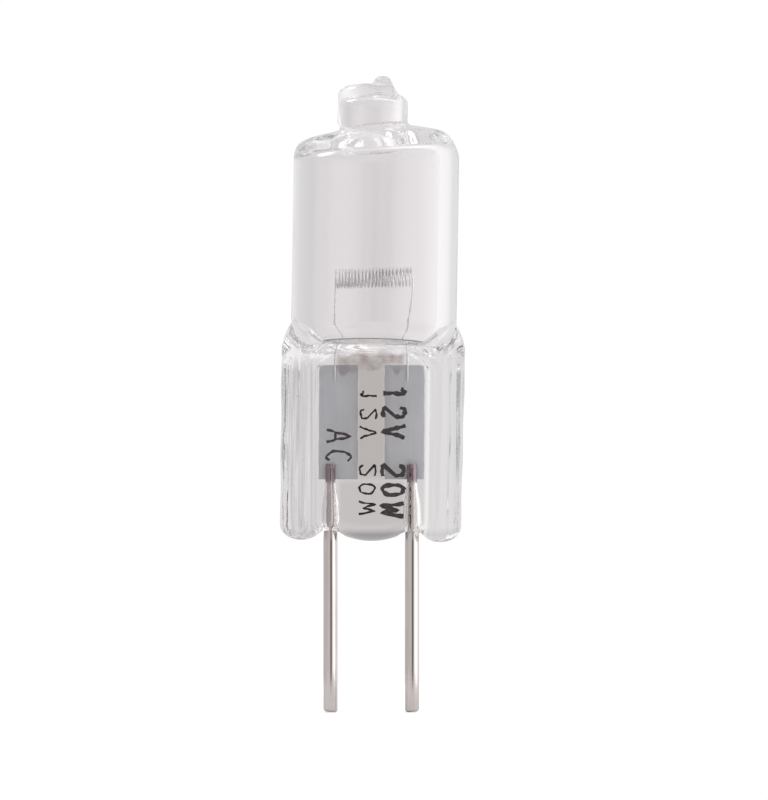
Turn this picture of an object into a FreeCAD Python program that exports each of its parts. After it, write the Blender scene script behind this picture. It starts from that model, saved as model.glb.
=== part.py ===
import FreeCAD
import Part
import math
import os

# Halogen capsule bulb with a two-pin base. Lengths are in millimetres, angles in degrees.
# The origin lies midway between the pins on the seat plane, the lowest level of the glass.
# Z runs up to the sealed tip, X along the row of pins, and the front faces -Y.

# Pins: round wire with a chamfered free end and a drawn-down root inside the glass.
pin_spacing = 4.0
pin_diameter = 0.70
pin_reach = 8.40
pin_chamfer = 0.10
root_diameter = 0.50
root_top = 3.78
weld_length = 0.75
weld_land = 0.20

# Foils: thin strips with feathered long edges, lying on the welding lands of the pins.
foil_width = 1.95
foil_cover = 0.97
foil_thickness = 0.04
foil_edge = 0.012
foil_feather = 0.30
foil_inset = 0.37

# Filament: one wire, coiled across the bulb, with a leg down to each foil.
wire_diameter = 0.09
wire_sides = 5
coil_diameter = 0.99
coil_pitch = 0.168
coil_turns = 22.5
coil_facets = 12
coil_rise = 1.50
coil_shift = 0.11
coil_tilt = 1.5
leg_spacing = 3.56
leg_overlap = 0.80
leg_bend = 0.40
leg_drop = 0.60
leg_stand = 0.45

# Bulb: a tube with a rounded shoulder, a low cone above it and the stub of the exhaust tube.
bulb_diameter = 8.12
bulb_length = 7.32
wall = 0.95
shoulder_radius = 1.35
dome_slope = 12.0
tip_diameter = 3.46
tip_offset = -0.23
tip_rise = 3.58
tip_round = 0.60
tip_bore_diameter = 1.90
tip_cap = 0.60
tip_bore_bevel = 0.45
neck_diameter = 0.80
neck_height = 0.35
nipple_diameter = 0.80
nipple_flare = 0.35
nipple_rise = 0.52
nipple_offset = 0.48
glass_lean = 0.95

# Pinch seal: two rounded ribs with a thinner web between them and three lobes below.
pinch_width = 8.95
pinch_top = 9.60
rib_thickness = 2.90
web_thickness = 2.30
web_width = 5.90
web_drop = 0.36
web_corner = 1.10
web_flank = 0.36
waist_height = 1.80
waist_turn = 1.05
lobe_rise = 0.35
notch_width = 0.84
corner_radius = 1.00
base_round = 0.70

# Hollow above the pinch, and the loose bores around the pins.
floor_rise = 0.40
floor_inset = 0.46
floor_setback = 0.81
bore_gap = 0.15
bore_throat = 0.25
mouth_gap = 0.42
mouth_depth = 1.10

# Values worked out from the ones above.
pin_radius = pin_diameter / 2.0
root_radius = root_diameter / 2.0
pin_x = pin_spacing / 2.0
web_top = pinch_top - web_drop
floor_height = pinch_top + floor_rise
shoulder_end = pinch_top + waist_turn
bulb_foot = pinch_top + waist_height
shoulder_height = bulb_foot + bulb_length
tip_top = shoulder_height + tip_rise
tip_bore_top = tip_top - tip_cap
nipple_top = tip_top + nipple_rise
coil_height = bulb_foot + coil_rise
foil_bottom = root_top - weld_length
foil_top = pinch_top - foil_cover
foil_length = foil_top - foil_bottom
foil_x = pin_x - foil_inset
wire_radius = wire_diameter / 2.0
coil_radius = coil_diameter / 2.0 - wire_radius
leg_x = leg_spacing / 2.0
leg_y = weld_land - wire_radius
leg_bottom = foil_top - leg_overlap
leg_straight = floor_height + leg_stand
bulb_radius = bulb_diameter / 2.0
hollow_radius = bulb_radius - wall
rib_half = rib_thickness / 2.0
web_half = web_thickness / 2.0
origin = FreeCAD.Vector(0, 0, 0)
up = FreeCAD.Vector(0, 0, 1)


def spot(x, y, z):
    return FreeCAD.Vector(x, y, z)


def chain(start, steps):
    # A step holds the end of a line, or a point on an arc and its end.
    edges = []
    here = start
    for step in steps:
        if len(step) == 2:
            edges.append(Part.Arc(here, step[0], step[1]).toShape())
        else:
            edges.append(Part.LineSegment(here, step[0]).toShape())
        here = step[-1]
    return Part.Wire(edges)


def turned(start, steps):
    return Part.Face(chain(start, steps)).revolve(origin, up, 360)


def swung(centre, radius, angle):
    # Point of a circle in the XZ plane.
    turn = math.radians(angle)
    return spot(centre.x + radius * math.cos(turn), 0, centre.z + radius * math.sin(turn))


def section(half_width, half_depth, corner_x, corner_y, z):
    # Closed section with four edges: front, right end, back and left end.
    front_left = spot(-corner_x, -corner_y, z)
    front_right = spot(corner_x, -corner_y, z)
    back_right = spot(corner_x, corner_y, z)
    back_left = spot(-corner_x, corner_y, z)
    if half_depth - corner_y < 1e-6:
        front = (front_right,)
        back = (back_left,)
    else:
        front = (spot(0, -half_depth, z), front_right)
        back = (spot(0, half_depth, z), back_left)
    right = (spot(half_width, 0, z), back_right)
    left = (spot(-half_width, 0, z), front_left)
    return chain(front_left, [front, right, back, left])


def stadium(width, thickness, z):
    return section(width / 2.0, thickness / 2.0, (width - thickness) / 2.0, thickness / 2.0, z)


def flared(narrow, wide, low, reach, high):
    # From a flat section to a round one. The depth swells as a quarter of an ellipse up to the level
    # high, while the width and the corners draw in ever faster and are done at the level reach.
    steps = 7
    flat_x = narrow[0] - min(narrow)
    round_x = wide * math.sqrt(0.5)
    wires = []
    for count in range(steps + 1):
        turn = count / steps * math.pi / 2.0
        z = low + (high - low) * (1.0 - math.cos(turn))
        closing = min(1.0, (z - low) / (reach - low)) ** 2
        half_width = narrow[0] + (wide - narrow[0]) * closing
        half_depth = narrow[1] + (wide - narrow[1]) * math.sin(turn)
        corner_x = flat_x + (round_x - flat_x) * closing
        corner_y = narrow[1] + (round_x - narrow[1]) * closing
        wires.append(section(half_width, half_depth, corner_x, corner_y, z))
    return Part.makeLoft(wires, True, True)


def bulb_form(radius, shoulder):
    # Tube with a rounded shoulder and a cone that closes on the axis.
    # The inside has the same cone, one wall lower, and a plain bevel for a shoulder.
    steep = 90.0 - dome_slope
    centre = spot(bulb_radius - shoulder_radius, 0, shoulder_height)
    end = swung(centre, shoulder, steep)
    apex = end.z + end.x * math.tan(math.radians(dome_slope))
    steps = [(spot(radius, 0, bulb_foot),), (spot(radius, 0, shoulder_height),)]
    if radius == bulb_radius:
        steps.append((swung(centre, shoulder, steep / 2.0), end))
    else:
        steps.append((end,))
    steps = steps + [(spot(0, 0, apex),), (spot(0, 0, bulb_foot),)]
    return turned(spot(0, 0, bulb_foot), steps)


def tip_form():
    # Stub of the exhaust tube: rounded rim, flat crown and an off-centre drawn nipple.
    radius = tip_diameter / 2.0
    rim = spot(radius - tip_round, 0, tip_top - tip_round)
    steps = [(spot(radius, 0, shoulder_height),), (spot(radius, 0, rim.z),)]
    steps = steps + [(swung(rim, tip_round, turn),) for turn in (30.0, 60.0, 90.0)]
    steps = steps + [(spot(0, 0, tip_top),), (spot(0, 0, shoulder_height),)]
    stub = turned(spot(0, 0, shoulder_height), steps)
    small = nipple_diameter / 2.0
    root = tip_top - wall / 4.0
    flare = spot(small + nipple_flare, 0, root + nipple_flare)
    ball = spot(0, 0, nipple_top - small)
    steps = [(spot(flare.x, 0, root),), (swung(flare, nipple_flare, 225.0),), (spot(small, 0, flare.z),)]
    if ball.z > flare.z:
        steps = steps + [(spot(small, 0, ball.z),)]
    else:
        ball = spot(0, 0, flare.z)
    steps = steps + [(swung(ball, small, turn),) for turn in (30.0, 60.0)]
    steps = steps + [(spot(0, 0, ball.z + small),), (spot(0, 0, root),)]
    nipple = turned(spot(0, 0, root), steps)
    nipple.translate(spot(nipple_offset, 0, 0))
    return stub.fuse(nipple)


def tip_hollow():
    # Funnel left inside the stub: a narrow neck below, wider above, with a bevelled end.
    neck = neck_diameter / 2.0
    wide = tip_bore_diameter / 2.0
    low = shoulder_height
    throat = shoulder_height + shoulder_radius + neck_height
    steps = [(spot(neck, 0, low),), (spot(neck, 0, throat),)]
    steps = steps + [(spot(wide, 0, tip_bore_top - tip_bore_bevel),)]
    steps = steps + [(spot(wide - tip_bore_bevel, 0, tip_bore_top),)]
    steps = steps + [(spot(0, 0, tip_bore_top),), (spot(0, 0, low),)]
    return turned(spot(0, 0, low), steps)


def lobed_front():
    # Front outline of the pinch: three lobes with a notch at each pin, rounded outer corners.
    half = pinch_width / 2.0 + wall
    edge = pinch_width / 2.0
    foot = edge - corner_radius
    inner = pin_x - notch_width / 2.0
    outer = pin_x + notch_width / 2.0
    run = foot - outer
    outer_radius = (run * run + lobe_rise * lobe_rise) / (2.0 * lobe_rise)
    bend = math.asin(run / outer_radius) / 2.0
    side_x = foot - outer_radius * math.sin(bend)
    side_z = outer_radius * (1.0 - math.cos(bend))
    corner = spot(foot, 0, corner_radius)
    corner_mid = swung(corner, corner_radius, -45.0)
    top = pinch_top + wall
    steps = [(spot(-foot - (corner_mid.x - foot), 0, corner_mid.z), spot(-foot, 0, 0))]
    steps = steps + [(spot(-side_x, 0, side_z), spot(-outer, 0, lobe_rise))]
    steps = steps + [(spot(-inner, 0, lobe_rise),)]
    steps = steps + [(origin, spot(inner, 0, lobe_rise))]
    steps = steps + [(spot(outer, 0, lobe_rise),)]
    steps = steps + [(spot(side_x, 0, side_z), spot(foot, 0, 0))]
    steps = steps + [(corner_mid, spot(edge, 0, corner_radius))]
    steps = steps + [(spot(half, 0, corner_radius),), (spot(half, 0, top),), (spot(-half, 0, top),)]
    steps = steps + [(spot(-half, 0, corner_radius),), (spot(-edge, 0, corner_radius),)]
    face = Part.Face(chain(spot(-edge, 0, corner_radius), steps))
    face.translate(spot(0, -rib_thickness, 0))
    return face.extrude(spot(0, 2.0 * rib_thickness, 0))


def rounded_side():
    # Side outline of the pinch: straight faces with rounded lower edges.
    half = rib_half + wall
    top = pinch_top + wall
    foot = rib_half - base_round
    lean = base_round * (1.0 - math.sqrt(0.5))
    steps = [(spot(0, -rib_half + lean, lean), spot(0, -foot, 0))]
    steps = steps + [(spot(0, foot, 0),), (spot(0, rib_half - lean, lean), spot(0, rib_half, base_round))]
    steps = steps + [(spot(0, half, base_round),), (spot(0, half, top),), (spot(0, -half, top),)]
    steps = steps + [(spot(0, -half, base_round),), (spot(0, -rib_half, base_round),)]
    face = Part.Face(chain(spot(0, -rib_half, base_round), steps))
    face.translate(spot(-pinch_width, 0, 0))
    return face.extrude(spot(2.0 * pinch_width, 0, 0))


def arched(half, top, corner, y):
    # Rounded arch, open below the glass.
    low = -wall
    bend = corner * (1.0 - math.sqrt(0.5))
    steps = [(spot(-half, y, top - corner),)]
    steps = steps + [(spot(-half + bend, y, top - bend), spot(-half + corner, y, top))]
    steps = steps + [(spot(half - corner, y, top),)]
    steps = steps + [(spot(half - bend, y, top - bend), spot(half, y, top - corner))]
    steps = steps + [(spot(half, y, low),), (spot(-half, y, low),)]
    return chain(spot(-half, y, low), steps)


def recess(side):
    # Pocket that leaves the web; its flank slopes outward.
    depth = rib_half - web_half
    inner = arched(web_width / 2.0 - web_flank, web_top - web_flank, web_corner - web_flank, side * web_half)
    outer_y = side * (rib_half + depth)
    outer = arched(web_width / 2.0 + web_flank, web_top + web_flank, web_corner + web_flank, outer_y)
    return Part.makeLoft([inner, outer], True, True)


def pin_form(x):
    # Straight free length below the seat plane, tapering root above, land for the foil.
    tip = -pin_reach
    steps = [(spot(pin_radius - pin_chamfer, 0, tip),), (spot(pin_radius, 0, tip + pin_chamfer),)]
    steps = steps + [(spot(pin_radius, 0, 0),), (spot(root_radius, 0, foil_bottom),)]
    steps = steps + [(spot(root_radius, 0, root_top),), (spot(0, 0, root_top),), (spot(0, 0, tip),)]
    wire = turned(spot(0, 0, tip), steps)
    land = Part.makeBox(pin_diameter, pin_diameter, weld_length + pin_diameter)
    land.translate(spot(-pin_radius, weld_land, foil_bottom))
    shape = wire.cut(land)
    shape.translate(spot(x, 0, 0))
    return shape


def foil_form(x):
    # Flat strip whose long edges thin out to a feather edge.
    half = foil_width / 2.0
    flat = half - foil_feather
    back = weld_land + foil_thickness
    edge_back = weld_land + foil_edge
    corners = [(-half, weld_land), (half, weld_land), (half, edge_back)]
    corners = corners + [(flat, back), (-flat, back), (-half, edge_back)]
    points = [spot(x + place[0], place[1], foil_bottom) for place in corners]
    points.append(points[0])
    return Part.Face(Part.makePolygon(points)).extrude(spot(0, 0, foil_length))


def bore(x):
    # Loose hole around a pin: wide mouth, even length, closing on the root below the foil.
    radius = pin_radius + bore_gap
    mouth = pin_radius + mouth_gap
    high = foil_bottom - bore_throat
    low = -wall
    steps = [(spot(mouth, 0, low),), (spot(mouth, 0, lobe_rise),), (spot(radius, 0, mouth_depth),)]
    steps = steps + [(spot(radius, 0, high - bore_throat),), (spot(root_radius / 2.0, 0, high),)]
    steps = steps + [(spot(0, 0, high),), (spot(0, 0, low),)]
    shape = turned(spot(0, 0, low), steps)
    shape.translate(spot(x, 0, 0))
    return shape


def bent(points, radius):
    # A path of straight lines, with three points of an arc at each corner.
    path = [points[0]]
    for index in range(1, len(points) - 1):
        corner = points[index]
        back = (points[index - 1] - corner).normalize()
        ahead = (points[index + 1] - corner).normalize()
        half_angle = back.getAngle(ahead) / 2.0
        inward = (back + ahead).normalize()
        path.append(corner + back * (radius / math.tan(half_angle)))
        path.append(corner + inward * (radius / math.sin(half_angle) - radius))
        path.append(corner + ahead * (radius / math.tan(half_angle)))
    path.append(points[-1])
    return path


def coil_path():
    # Even turns about a slightly tilted line, starting and ending at the sides of the coil.
    count = int(round(coil_turns * coil_facets))
    length = coil_pitch * coil_turns
    tilt = FreeCAD.Placement(spot(coil_shift, 0, coil_height), FreeCAD.Rotation(spot(0, 1, 0), -coil_tilt))
    points = []
    for index in range(count + 1):
        turn = 2.0 * math.pi * index / coil_facets
        along = length * (index / count - 0.5)
        points.append(tilt.multVec(spot(along, coil_radius * math.cos(turn), coil_radius * math.sin(turn))))
    return points


def leg_path(start, side):
    # From the end of the coil: on downward, across to the foil, then straight down.
    drop = start - up * leg_drop
    stand = spot(side * leg_x, leg_y, leg_straight)
    end = spot(side * leg_x, leg_y, leg_bottom)
    return [start, drop, stand, end]


def polygon_face(corners):
    return Part.Face(Part.makePolygon(corners + corners[:1]))


def drawn_wire(points):
    # Wire along a path: a small polygon slides along each run to the plane that halves the next corner.
    circle = Part.Circle(points[0], points[1] - points[0], wire_radius)
    ring = [circle.value(2.0 * math.pi * side / wire_sides) for side in range(wire_sides)]
    faces = [polygon_face(ring)]
    for index in range(1, len(points)):
        here = points[index]
        heading = (here - points[index - 1]).normalize()
        leaving = (points[min(index + 1, len(points) - 1)] - here) * 1.0
        halving = heading if leaving.Length == 0 else (heading + leaving.normalize()).normalize()
        reach = heading.dot(halving)
        slid = [corner + heading * ((here - corner).dot(halving) / reach) for corner in ring]
        for side in range(wire_sides):
            faces.append(polygon_face([ring[side - 1], ring[side], slid[side], slid[side - 1]]))
        ring = slid
    faces.append(polygon_face(ring))
    skin = Part.makeShell(faces)
    skin.sewShape()
    solid = Part.makeSolid(skin)
    if solid.Volume < 0:
        solid.reverse()
    return solid


def filament_form():
    coil = coil_path()
    left = bent(leg_path(coil[0], -1), leg_bend)
    right = bent(leg_path(coil[-1], 1), leg_bend)
    left.reverse()
    return drawn_wire(left + coil[1:-1] + right)


def leg_channel(side):
    # Straight hole that one leg fills between the hollow and its foil.
    place = spot(side * leg_x, leg_y, leg_bottom)
    return Part.makeCylinder(wire_radius, floor_height + leg_stand / 2.0 - leg_bottom, place, up)


def envelope_form(buried):
    slab = Part.Face(stadium(pinch_width, rib_thickness, -wall)).extrude(up * (pinch_top + wall))
    slab = slab.common(lobed_front()).common(rounded_side())
    flat = (pinch_width / 2.0, rib_half)
    waist = flared(flat, bulb_radius, pinch_top, shoulder_end, bulb_foot)
    bulb = bulb_form(bulb_radius, shoulder_radius)
    tip = tip_form()
    tip.translate(spot(tip_offset, 0, 0))
    glass = slab.fuse(waist).fuse(bulb).fuse(tip)
    glass = glass.cut(recess(-1)).cut(recess(1))
    ground = (hollow_radius - floor_inset, hollow_radius - floor_setback)
    bowl = flared(ground, hollow_radius, floor_height, shoulder_end, bulb_foot)
    room = bulb_form(hollow_radius, shoulder_radius - wall)
    stub = tip_hollow()
    stub.translate(spot(tip_offset, 0, 0))
    hollow = bowl.fuse(room).fuse(stub)
    glass = glass.cut(hollow)
    glass.rotate(origin, spot(0, 1, 0), glass_lean)
    for tool in [bore(-pin_x), bore(pin_x), leg_channel(-1), leg_channel(1)] + buried:
        glass = glass.cut(tool)
    return glass


nodes = {}
nodes["pin_left"] = pin_form(-pin_x)
nodes["pin_right"] = pin_form(pin_x)
nodes["foil_left"] = foil_form(-foil_x)
nodes["foil_right"] = foil_form(foil_x)
buried = list(nodes.values())
nodes["filament"] = filament_form()
nodes["quartz_envelope"] = envelope_form(buried)

os.makedirs("parts", exist_ok=True)
for name, shape in nodes.items():
    solid = shape.Solids[0]
    print(name, len(shape.Solids), solid.isValid(), round(solid.Volume, 3))
    solid.exportStep("parts/" + name + ".step")
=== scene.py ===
import bpy
import bmesh
import math
import numpy as np
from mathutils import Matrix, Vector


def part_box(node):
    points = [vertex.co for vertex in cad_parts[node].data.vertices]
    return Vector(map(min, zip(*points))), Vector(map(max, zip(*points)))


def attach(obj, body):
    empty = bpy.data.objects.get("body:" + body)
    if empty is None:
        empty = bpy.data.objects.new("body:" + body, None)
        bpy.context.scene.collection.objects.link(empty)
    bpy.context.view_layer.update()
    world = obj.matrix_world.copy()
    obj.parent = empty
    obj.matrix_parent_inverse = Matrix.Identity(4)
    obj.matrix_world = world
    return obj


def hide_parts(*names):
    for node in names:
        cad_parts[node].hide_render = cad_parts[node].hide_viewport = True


# Halogen capsule bulb. Lengths in the dictionaries are millimetres, objects are in metres.
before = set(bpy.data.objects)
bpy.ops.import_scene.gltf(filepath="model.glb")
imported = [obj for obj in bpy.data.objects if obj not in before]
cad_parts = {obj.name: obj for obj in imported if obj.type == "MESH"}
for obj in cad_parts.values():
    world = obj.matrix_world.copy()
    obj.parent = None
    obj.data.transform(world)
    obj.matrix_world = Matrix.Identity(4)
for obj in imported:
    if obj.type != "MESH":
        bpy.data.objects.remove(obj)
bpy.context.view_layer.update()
mm = 0.001
weldGap = 2e-7
tiny = 1e-9
pinBox = [np.array(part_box("pin_right")[end]) / mm for end in (0, 1)]
foilBox = [np.array(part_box("foil_right")[end]) / mm for end in (0, 1)]
pinX = float(pinBox[0][0] + pinBox[1][0]) / 2.0
pinRadius = float(pinBox[1][0] - pinBox[0][0]) / 2.0
pinTip = float(pinBox[0][2])
rootTop = float(pinBox[1][2])
foilX = float(foilBox[0][0] + foilBox[1][0]) / 2.0
foilBottom = float(foilBox[0][2])
foilTop = float(foilBox[1][2])
foilFront = float(foilBox[0][1])
print("frame loaded")


# Shared tools


def smooth(low, high, value):
    share = np.clip((value - low) / (high - low), 0.0, 1.0)
    return share * share * (3.0 - 2.0 * share)


def ramp(low, high, count, last=False):
    return np.linspace(low, high, count, endpoint=last)


def ringFaces(rows, columns):
    # Quads between neighbouring rings that are closed around.
    index = np.arange(rows * columns).reshape(rows, columns)
    ahead = np.roll(index, -1, axis=1)
    return np.stack([index[:-1], ahead[:-1], ahead[1:], index[1:]], axis=-1).reshape(-1, 4)


def meshOf(name, points, faces, flip=False):
    # Closed skin: rings that fall on one line or one point are welded, normals face outward.
    mesh = bpy.data.meshes.new(name)
    mesh.from_pydata((points.reshape(-1, 3) * mm).tolist(), [], faces.tolist())
    work = bmesh.new()
    work.from_mesh(mesh)
    bmesh.ops.remove_doubles(work, verts=work.verts, dist=weldGap)
    bmesh.ops.recalc_face_normals(work, faces=work.faces)
    if flip:
        bmesh.ops.reverse_faces(work, faces=work.faces)
    work.to_mesh(mesh)
    work.free()
    return mesh


def skinOf(name, grid, flip=False):
    return meshOf(name, grid, ringFaces(*grid.shape[:2]), flip)


def skinsOf(name, grids, flip=False):
    # Several skins of one layout in one mesh.
    rows, columns = grids.shape[1:3]
    starts = np.arange(len(grids))[:, None, None] * rows * columns
    faces = ringFaces(rows, columns)[None] + starts
    return meshOf(name, grids, faces.reshape(-1, 4), flip)


def addObject(name, mesh):
    item = bpy.data.objects.new(name, mesh)
    bpy.context.scene.collection.objects.link(item)
    return item


def addPiece(name, mesh, material, nodes=(), sharp=40.0):
    mesh.polygons.foreach_set("use_smooth", np.ones(len(mesh.polygons), dtype=bool))
    mesh.set_sharp_from_angle(angle=math.radians(sharp))
    mesh.materials.clear()
    mesh.materials.append(material)
    item = addObject(name, mesh)
    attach(item, "root")
    if nodes:
        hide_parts(*nodes)
    return item


def turnedGrid(radius, height, columns):
    # A profile turned about the upright axis.
    turn = ramp(0.0, 2.0 * math.pi, columns)
    x = radius[:, None] * np.cos(turn)
    y = radius[:, None] * np.sin(turn)
    z = np.repeat(height[:, None], columns, axis=1)
    return np.stack([x, y, z], axis=-1)


def tubeGrid(path, wide, deep, facing, sides):
    # An oval profile carried along a path; facing is never along the path.
    # The width may vary on the way, and both ends close in a point on the path.
    ahead = np.gradient(path, axis=0)
    ahead = ahead / np.linalg.norm(ahead, axis=1)[:, None]
    across = np.cross(ahead, facing)
    across = across / np.linalg.norm(across, axis=1)[:, None]
    outward = np.cross(across, ahead)
    turn = ramp(0.0, 2.0 * math.pi, sides)
    wide = np.broadcast_to(wide, len(path))[:, None, None]
    sideways = across[:, None] * wide * np.cos(turn)[:, None]
    upward = outward[:, None] * deep * np.sin(turn)[:, None]
    grid = path[:, None] + (sideways + upward)
    start = np.repeat(path[:1, None], sides, axis=1)
    end = np.repeat(path[-1:, None], sides, axis=1)
    return np.concatenate([start, grid, end], axis=0)


# Node tools


def addNode(tree, kind, **settings):
    node = tree.nodes.new(kind)
    for key, value in settings.items():
        setattr(node, key, value)
    return node


def setInput(node, name, value):
    node.inputs[name].default_value = value


def newMaterial(name):
    material = bpy.data.materials.new(name)
    material.use_nodes = True
    return material, material.node_tree, material.node_tree.nodes["Principled BSDF"]


def newGroup(name, inputs, outputs):
    group = bpy.data.node_groups.new(name, "ShaderNodeTree")
    for label, value in inputs.items():
        socket = group.interface.new_socket(label, in_out="INPUT", socket_type="NodeSocketFloat")
        socket.default_value = value
    for label in outputs:
        group.interface.new_socket(label, in_out="OUTPUT", socket_type="NodeSocketFloat")
    return group, group.nodes.new("NodeGroupInput"), group.nodes.new("NodeGroupOutput")


def useGroup(tree, group, **values):
    node = addNode(tree, "ShaderNodeGroup", node_tree=group)
    for label, value in values.items():
        setInput(node, label, value)
    return node


def mathNode(tree, operation, first, second):
    node = addNode(tree, "ShaderNodeMath", operation=operation)
    for place, value in enumerate((first, second)):
        if isinstance(value, (int, float)):
            node.inputs[place].default_value = value
        else:
            tree.links.new(value, node.inputs[place])
    return node.outputs[0]


def colourMix(tree, factor, first, second):
    node = addNode(tree, "ShaderNodeMix", data_type="RGBA")
    tree.links.new(factor, node.inputs["Factor"])
    for label, value in (("A", first), ("B", second)):
        socket = [s for s in node.inputs if s.name == label and s.type == "RGBA"][0]
        if isinstance(value, tuple):
            socket.default_value = value + (1.0,)
        else:
            tree.links.new(value, socket)
    return [s for s in node.outputs if s.type == "RGBA"][0]


def makePlaces():
    # Object place in millimetres.
    group, _, given = newGroup("places", {}, ["X", "Y", "Z"])
    place = addNode(group, "ShaderNodeTexCoord")
    scaled = addNode(group, "ShaderNodeVectorMath", operation="SCALE")
    setInput(scaled, "Scale", 1.0 / mm)
    group.links.new(place.outputs["Object"], scaled.inputs[0])
    parts = addNode(group, "ShaderNodeSeparateXYZ")
    group.links.new(scaled.outputs[0], parts.inputs[0])
    for label in "XYZ":
        group.links.new(parts.outputs[label], given.inputs[label])
    return group


def makeBand():
    # One between Low and High, falling to zero over Soft at each end.
    inputs = {"Value": 0.0, "Low": 0.0, "High": 1.0, "Soft": 0.1}
    group, taken, given = newGroup("band", inputs, ["Mask"])
    sides = []
    for edge in ("Low", "High"):
        before = mathNode(group, "SUBTRACT", taken.outputs[edge], taken.outputs["Soft"])
        after = mathNode(group, "ADD", taken.outputs[edge], taken.outputs["Soft"])
        step = addNode(group, "ShaderNodeMapRange", interpolation_type="SMOOTHSTEP")
        group.links.new(taken.outputs["Value"], step.inputs["Value"])
        group.links.new(before, step.inputs["From Min"])
        group.links.new(after, step.inputs["From Max"])
        sides.append(step.outputs[0])
    group.links.new(mathNode(group, "SUBTRACT", sides[0], sides[1]), given.inputs["Mask"])
    return group


def makeGrain():
    # Noise in object place with its own fineness across and along the upright axis.
    inputs = {"Across": 4.0, "Along": 4.0, "Detail": 3.0}
    group, taken, given = newGroup("grain", inputs, ["Value"])
    place = addNode(group, "ShaderNodeTexCoord")
    scale = addNode(group, "ShaderNodeCombineXYZ")
    group.links.new(taken.outputs["Across"], scale.inputs["X"])
    group.links.new(taken.outputs["Across"], scale.inputs["Y"])
    group.links.new(taken.outputs["Along"], scale.inputs["Z"])
    spread = addNode(group, "ShaderNodeVectorMath", operation="MULTIPLY")
    group.links.new(place.outputs["Object"], spread.inputs[0])
    group.links.new(scale.outputs[0], spread.inputs[1])
    noise = addNode(group, "ShaderNodeTexNoise")
    setInput(noise, "Scale", 1.0 / mm)
    group.links.new(spread.outputs[0], noise.inputs["Vector"])
    group.links.new(taken.outputs["Detail"], noise.inputs["Detail"])
    group.links.new(noise.outputs["Fac"], given.inputs["Value"])
    return group


placesGroup = makePlaces()
bandGroup = makeBand()
grainGroup = makeGrain()


def band(tree, value, low, high, soft):
    node = useGroup(tree, bandGroup, Low=low, High=high, Soft=soft)
    tree.links.new(value, node.inputs["Value"])
    return node.outputs["Mask"]


def zone(tree, first, firstLimits, second, secondLimits):
    # Product of two bands: a soft-edged rectangle.
    return mathNode(tree, "MULTIPLY", band(tree, first, *firstLimits),
                    band(tree, second, *secondLimits))


def grain(tree, across, along, detail=3.0):
    node = useGroup(tree, grainGroup, Across=across, Along=along, Detail=detail)
    return node.outputs["Value"]


def stretch(tree, value, low, high, start, end):
    node = addNode(tree, "ShaderNodeMapRange")
    limits = {"From Min": low, "From Max": high, "To Min": start, "To Max": end}
    for label, number in limits.items():
        setInput(node, label, number)
    tree.links.new(value, node.inputs["Value"])
    return node.outputs[0]


def mottled(tree, fine, spread, gives):
    # Noise of the given fineness, stretched from its spread to the values it gives.
    return stretch(tree, grain(tree, *fine), *spread, *gives)


def dress(tree, shader, colour, rough, height, look):
    # The three varying values of a surface: colour, roughness and bump.
    tree.links.new(colour, shader.inputs["Base Color"])
    tree.links.new(rough, shader.inputs["Roughness"])
    bump = addNode(tree, "ShaderNodeBump")
    setInput(bump, "Strength", look["bumpStrength"])
    setInput(bump, "Distance", look["bumpDepth"] * mm)
    tree.links.new(height, bump.inputs["Height"])
    tree.links.new(bump.outputs["Normal"], shader.inputs["Normal"])


print("tools ready")


# Quartz envelope; the sizes of the pins come first, because the bores follow them

pin = {
    "rootRadius": 0.25,
    "land": 0.20,
    "chamfer": 0.09,
    "endStep": 0.02,
    "endShare": 0.70,
    "topChamfer": 0.03,
    "landGap": 0.01,
    "shear": 0.05,
    "shearReach": 0.60,
    "rows": (40, 20, 8),
    "columns": 64,
    "sharp": 35.0,
}

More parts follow.
